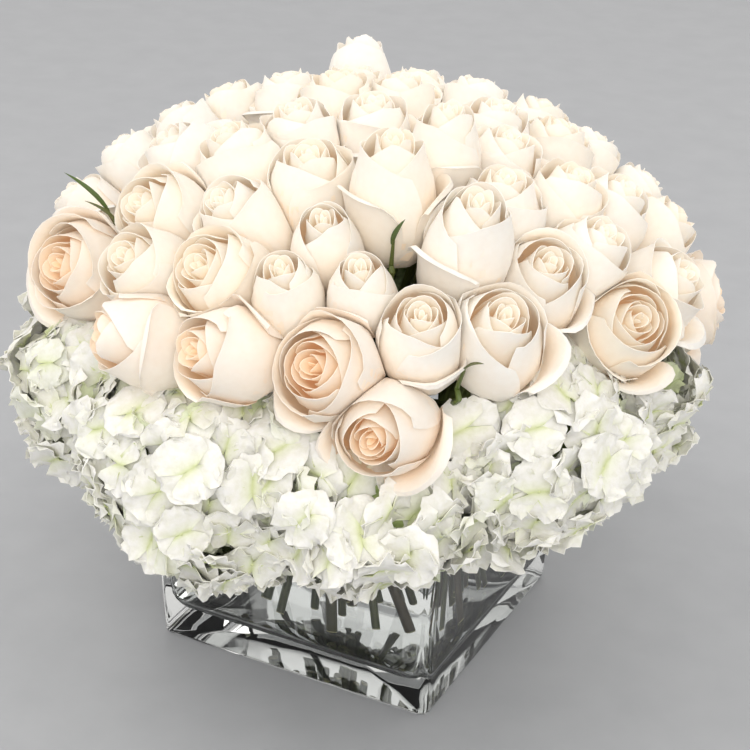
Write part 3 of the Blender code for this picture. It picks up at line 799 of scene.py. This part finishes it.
def math_node(tree, kind, a, b):
    item = tree.nodes.new("ShaderNodeMath")
    item.operation = kind
    item.use_clamp = True
    for value, socket in ((a, 0), (b, 1)):
        if hasattr(value, "links"):
            tree.links.new(value, item.inputs[socket])
        else:
            item.inputs[socket].default_value = value
    return item.outputs[0]


def tint_channels(tree):
    source = node(tree, "ShaderNodeAttribute")
    source.attribute_name = "tint"
    split = tree.nodes.new("ShaderNodeSeparateColor")
    tree.links.new(source.outputs["Color"], split.inputs["Color"])
    return split.outputs[0], split.outputs[1], split.outputs[2]


def fine_bump(tree, shader, scale, strength, distance, stretch=(1, 1, 1)):
    place = tree.nodes.new("ShaderNodeTexCoord")
    shape = tree.nodes.new("ShaderNodeMapping")
    shape.inputs["Scale"].default_value = stretch
    noise = node(tree, "ShaderNodeTexNoise", Scale=scale, Detail=4.0, Roughness=0.55)
    bump = node(tree, "ShaderNodeBump", Strength=strength, Distance=distance)
    tree.links.new(place.outputs["Object"], shape.inputs["Vector"])
    tree.links.new(shape.outputs["Vector"], noise.inputs["Vector"])
    tree.links.new(noise.outputs["Fac"], bump.inputs["Height"])
    tree.links.new(bump.outputs["Normal"], shader.inputs["Normal"])
    return noise


def rose_material():
    material, tree, shader = new_material("rose_petal_velvet")
    along, depth, own = tint_channels(tree)
    outside = ramp(tree, along, [(0.0, (0.90, 0.87, 0.62)), (0.22, (0.97, 0.90, 0.79)),
                                 (0.70, (0.975, 0.92, 0.845)), (1.0, (0.98, 0.955, 0.905))])
    inside = ramp(tree, along, [(0.0, (0.985, 0.74, 0.50)), (0.66, (0.99, 0.78, 0.55)),
                                (0.86, (0.99, 0.90, 0.76)), (1.0, (0.99, 0.95, 0.87))])
    ripe = ramp(tree, own, [(0.76, (0.0, 0.0, 0.0)), (0.88, (1.0, 1.0, 1.0))])
    deep = math_node(tree, "MULTIPLY", math_node(tree, "MULTIPLY", depth, depth), ripe)
    inside = mix(tree, "MULTIPLY", deep, inside, (1.0, 0.87, 0.72, 1))
    share = math_node(tree, "MULTIPLY", depth, 1.15)
    base = mix(tree, "MIX", share, outside, inside)
    blush = ramp(tree, own, [(0.0, (1.0, 0.96, 0.90)), (0.5, (1.0, 1.0, 1.0)),
                             (1.0, (1.0, 0.95, 0.91))])
    colored = mix(tree, "MULTIPLY", 1.0, base, blush)
    noise = fine_bump(tree, shader, 260.0, 0.12, 0.0006)
    mottle = ramp(tree, noise.outputs["Fac"], [(0.3, (0.97, 0.95, 0.93)), (0.7, (1, 1, 1))])
    final = mix(tree, "MULTIPLY", 0.8, colored, mottle)
    tree.links.new(final, shader.inputs["Base Color"])
    shader.inputs["Roughness"].default_value = 0.52
    shader.inputs["Subsurface Weight"].default_value = 0.12
    shader.inputs["Subsurface Radius"].default_value = (1.0, 0.7, 0.5)
    shader.inputs["Subsurface Scale"].default_value = 0.002
    shader.inputs["Sheen Weight"].default_value = 0.25
    shader.inputs["Specular IOR Level"].default_value = 0.30
    # Painted glow: the petals emit their inside colour, more strongly the further in they sit,
    # standing in for light shining through the thin petals.
    tree.links.new(inside, shader.inputs["Emission Color"])
    tree.links.new(math_node(tree, "MULTIPLY", depth, PAINTED_GLOW), shader.inputs["Emission Strength"])
    return material


def hydrangea_material():
    material, tree, shader = new_material("hydrangea_petal_tissue")
    along, _, own = tint_channels(tree)
    # The green towards each floret's middle and on the inner layer is partly the florets' own
    # green and partly painted shade in the creases and gaps.
    petal = ramp(tree, along, [(0.0, (0.68, 0.74, 0.38)), (0.14, (0.87, 0.885, 0.71)),
                               (0.42, (0.92, 0.91, 0.845)), (1.0, (0.93, 0.92, 0.88))])
    green = ramp(tree, own, [(0.0, (0.80, 0.88, 0.62)), (0.16, (0.92, 0.96, 0.84)),
                             (0.34, (1.0, 1.0, 1.0)), (1.0, (1.0, 1.0, 1.0))])
    base = mix(tree, "MULTIPLY", 1.0, petal, green)
    noise = fine_bump(tree, shader, 300.0, 0.40, 0.0008)
    vein = ramp(tree, noise.outputs["Fac"], [(0.35, (0.91, 0.91, 0.85)), (0.60, (1, 1, 1))])
    final = mix(tree, "MULTIPLY", 0.9, base, vein)
    tree.links.new(final, shader.inputs["Base Color"])
    shader.inputs["Roughness"].default_value = 0.50
    shader.inputs["Subsurface Weight"].default_value = 0.12
    shader.inputs["Subsurface Radius"].default_value = (0.9, 1.0, 0.6)
    shader.inputs["Subsurface Scale"].default_value = 0.002
    shader.inputs["Sheen Weight"].default_value = 0.15
    return material


def heart_material():
    material, tree, shader = new_material("hydrangea_heart_green")
    noise = fine_bump(tree, shader, 180.0, 0.5, 0.002)
    color = ramp(tree, noise.outputs["Fac"], [(0.35, (0.16, 0.22, 0.06)),
                                              (0.65, (0.42, 0.52, 0.20))])
    tree.links.new(color, shader.inputs["Base Color"])
    shader.inputs["Roughness"].default_value = 0.7
    return material


def stem_material():
    material, tree, shader = new_material("stem_green_waxy")
    along, cut, own = tint_channels(tree)
    skin = ramp(tree, own, [(0.0, (0.035, 0.060, 0.012)), (0.45, (0.075, 0.115, 0.022)),
                            (0.8, (0.115, 0.130, 0.035)), (1.0, (0.090, 0.055, 0.022))])
    noise = fine_bump(tree, shader, 150.0, 0.35, 0.0008, (1, 1, 0.25))
    streak = ramp(tree, noise.outputs["Fac"], [(0.3, (0.62, 0.60, 0.50)), (0.7, (1, 1, 1))])
    body = mix(tree, "MULTIPLY", 1.0, skin, streak)
    fresh = mix(tree, "MIX", math_node(tree, "MULTIPLY", along, 0.35), body,
                (0.20, 0.32, 0.08, 1))
    final = mix(tree, "MIX", cut, fresh, (0.62, 0.60, 0.30, 1))
    tree.links.new(final, shader.inputs["Base Color"])
    shader.inputs["Roughness"].default_value = 0.42
    return material


def clear_material(name, color, roughness, ior):
    material, tree, shader = new_material(name)
    noise = fine_bump(tree, shader, 9.0, 0.02, 0.002)
    tint = ramp(tree, noise.outputs["Fac"], [(0.0, color), (1.0, tuple(min(1, c + 0.01)
                                                                      for c in color))])
    tree.links.new(tint, shader.inputs["Base Color"])
    shader.inputs["Roughness"].default_value = roughness
    shader.inputs["Transmission Weight"].default_value = 1.0
    shader.inputs["IOR"].default_value = ior
    return material


def floor_material():
    material, tree, shader = new_material("studio_floor")
    noise = fine_bump(tree, shader, 30.0, 0.02, 0.001)
    tint = ramp(tree, noise.outputs["Fac"], [(0.3, (0.42, 0.43, 0.45)), (0.7, (0.45, 0.46, 0.48))])
    tree.links.new(tint, shader.inputs["Base Color"])
    shader.inputs["Roughness"].default_value = 0.45
    return material


# ---- stage --------------------------------------------------------------
def area_light(name, place, target, size, power, color=(1, 1, 1)):
    light = bpy.data.lights.new(name, "AREA")
    light.shape = "DISK"
    light.size = size
    light.energy = power
    light.color = color
    item = bpy.data.objects.new(name, light)
    item.location = place
    item.rotation_euler = (Vector(target) - Vector(place)).to_track_quat("-Z", "Y").to_euler()
    bpy.context.scene.collection.objects.link(item)


def set_stage():
    mesh = bpy.data.meshes.new("studio_floor")
    mesh.from_pydata([(-6, -6, 0), (6, -6, 0), (6, 6, 0), (-6, 6, 0)], [], [(0, 1, 2, 3)])
    mesh.materials.append(floor_material())
    floor = bpy.data.objects.new("studio_floor", mesh)
    floor.location.z = -0.0002
    bpy.context.scene.collection.objects.link(floor)
    world = bpy.data.worlds.new("studio")
    bpy.context.scene.world = world
    world.use_nodes = True
    background = world.node_tree.nodes["Background"]
    background.inputs[0].default_value = (1.0, 0.985, 0.965, 1)
    background.inputs[1].default_value = 0.82
    area_light("key", (-0.9, -0.5, 1.5), (0, 0, 0.18), 1.2, 6.5, (1.0, 0.97, 0.93))
    area_light("back", (0.9, 1.1, 1.2), (0, 0, 0.2), 1.0, 3.5, (1.0, 0.98, 0.95))
    area_light("front", (0.62, -1.15, 0.85), (0, 0, 0.15), 0.9, 8.5, (1.0, 0.98, 0.95))
    bpy.context.scene.view_settings.view_transform = "Standard"

    yaw, pitch, roll = (math.radians(a) for a in (26.5, 25.75, 1.93))
    ahead = Vector((-math.sin(yaw) * math.cos(pitch), math.cos(yaw) * math.cos(pitch),
                    -math.sin(pitch)))
    right = ahead.cross(Vector((0, 0, 1))).normalized()
    up = right.cross(ahead)
    right, up = (right * math.cos(roll) + up * math.sin(roll),
                 up * math.cos(roll) - right * math.sin(roll))
    camera = bpy.data.cameras.new("camera")
    camera.sensor_width = 36.0
    camera.lens = 86.4
    item = bpy.data.objects.new("camera", camera)
    place = Matrix((right, up, -ahead)).transposed().to_4x4()
    place.translation = Vector((0.364, -0.721, 0.523))
    item.matrix_world = place
    bpy.context.scene.collection.objects.link(item)
    bpy.context.scene.camera = item


def main():
    roses = plant_roses()
    heads = plant_heads()
    greens = plant_greens(roses)
    share_room(roses, heads, greens)
    for rose in roses:
        start = rose["at"] - rose["axis"] * 0.50 * rose["height"]
        rose["foot"] = rose["cell"].ease(start[None])[0]
    for head in heads:
        clear_stems(head, roses + greens)
        inward = unit(np.array([0, 0, WAIST]) - head["at"])
        head["foot"] = head["cell"].ease((head["at"] + inward * HEAD_RADIUS * 0.84)[None])[0]

    petal = rose_material()
    names = {int(n.split("_")[1]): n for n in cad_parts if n.startswith("rose")}
    for number in range(1, len(names) + 1):
        build = Build()
        for index, rose in enumerate(roses):
            if rose["group"] == number - 1:
                draw = random.Random(SEED * 1000 + index)
                for piece in rose_petals(rose, draw):
                    build.add(*piece)
        build.object(f"petals_{number:02d}", petal, [names[number]], "rose_petal")
    white, heart = hydrangea_material(), heart_material()
    for number, head in enumerate(heads, 1):
        dress_head(head, number, white, heart)
    dress_stems(roses, heads, greens, stem_material())
    dress_glass(clear_material("clear_glass_thick", (0.97, 0.98, 0.98), 0.0, 1.50),
                clear_material("clear_water_still", (0.97, 0.98, 0.97), 0.0, 1.33))
    set_stage()


main()
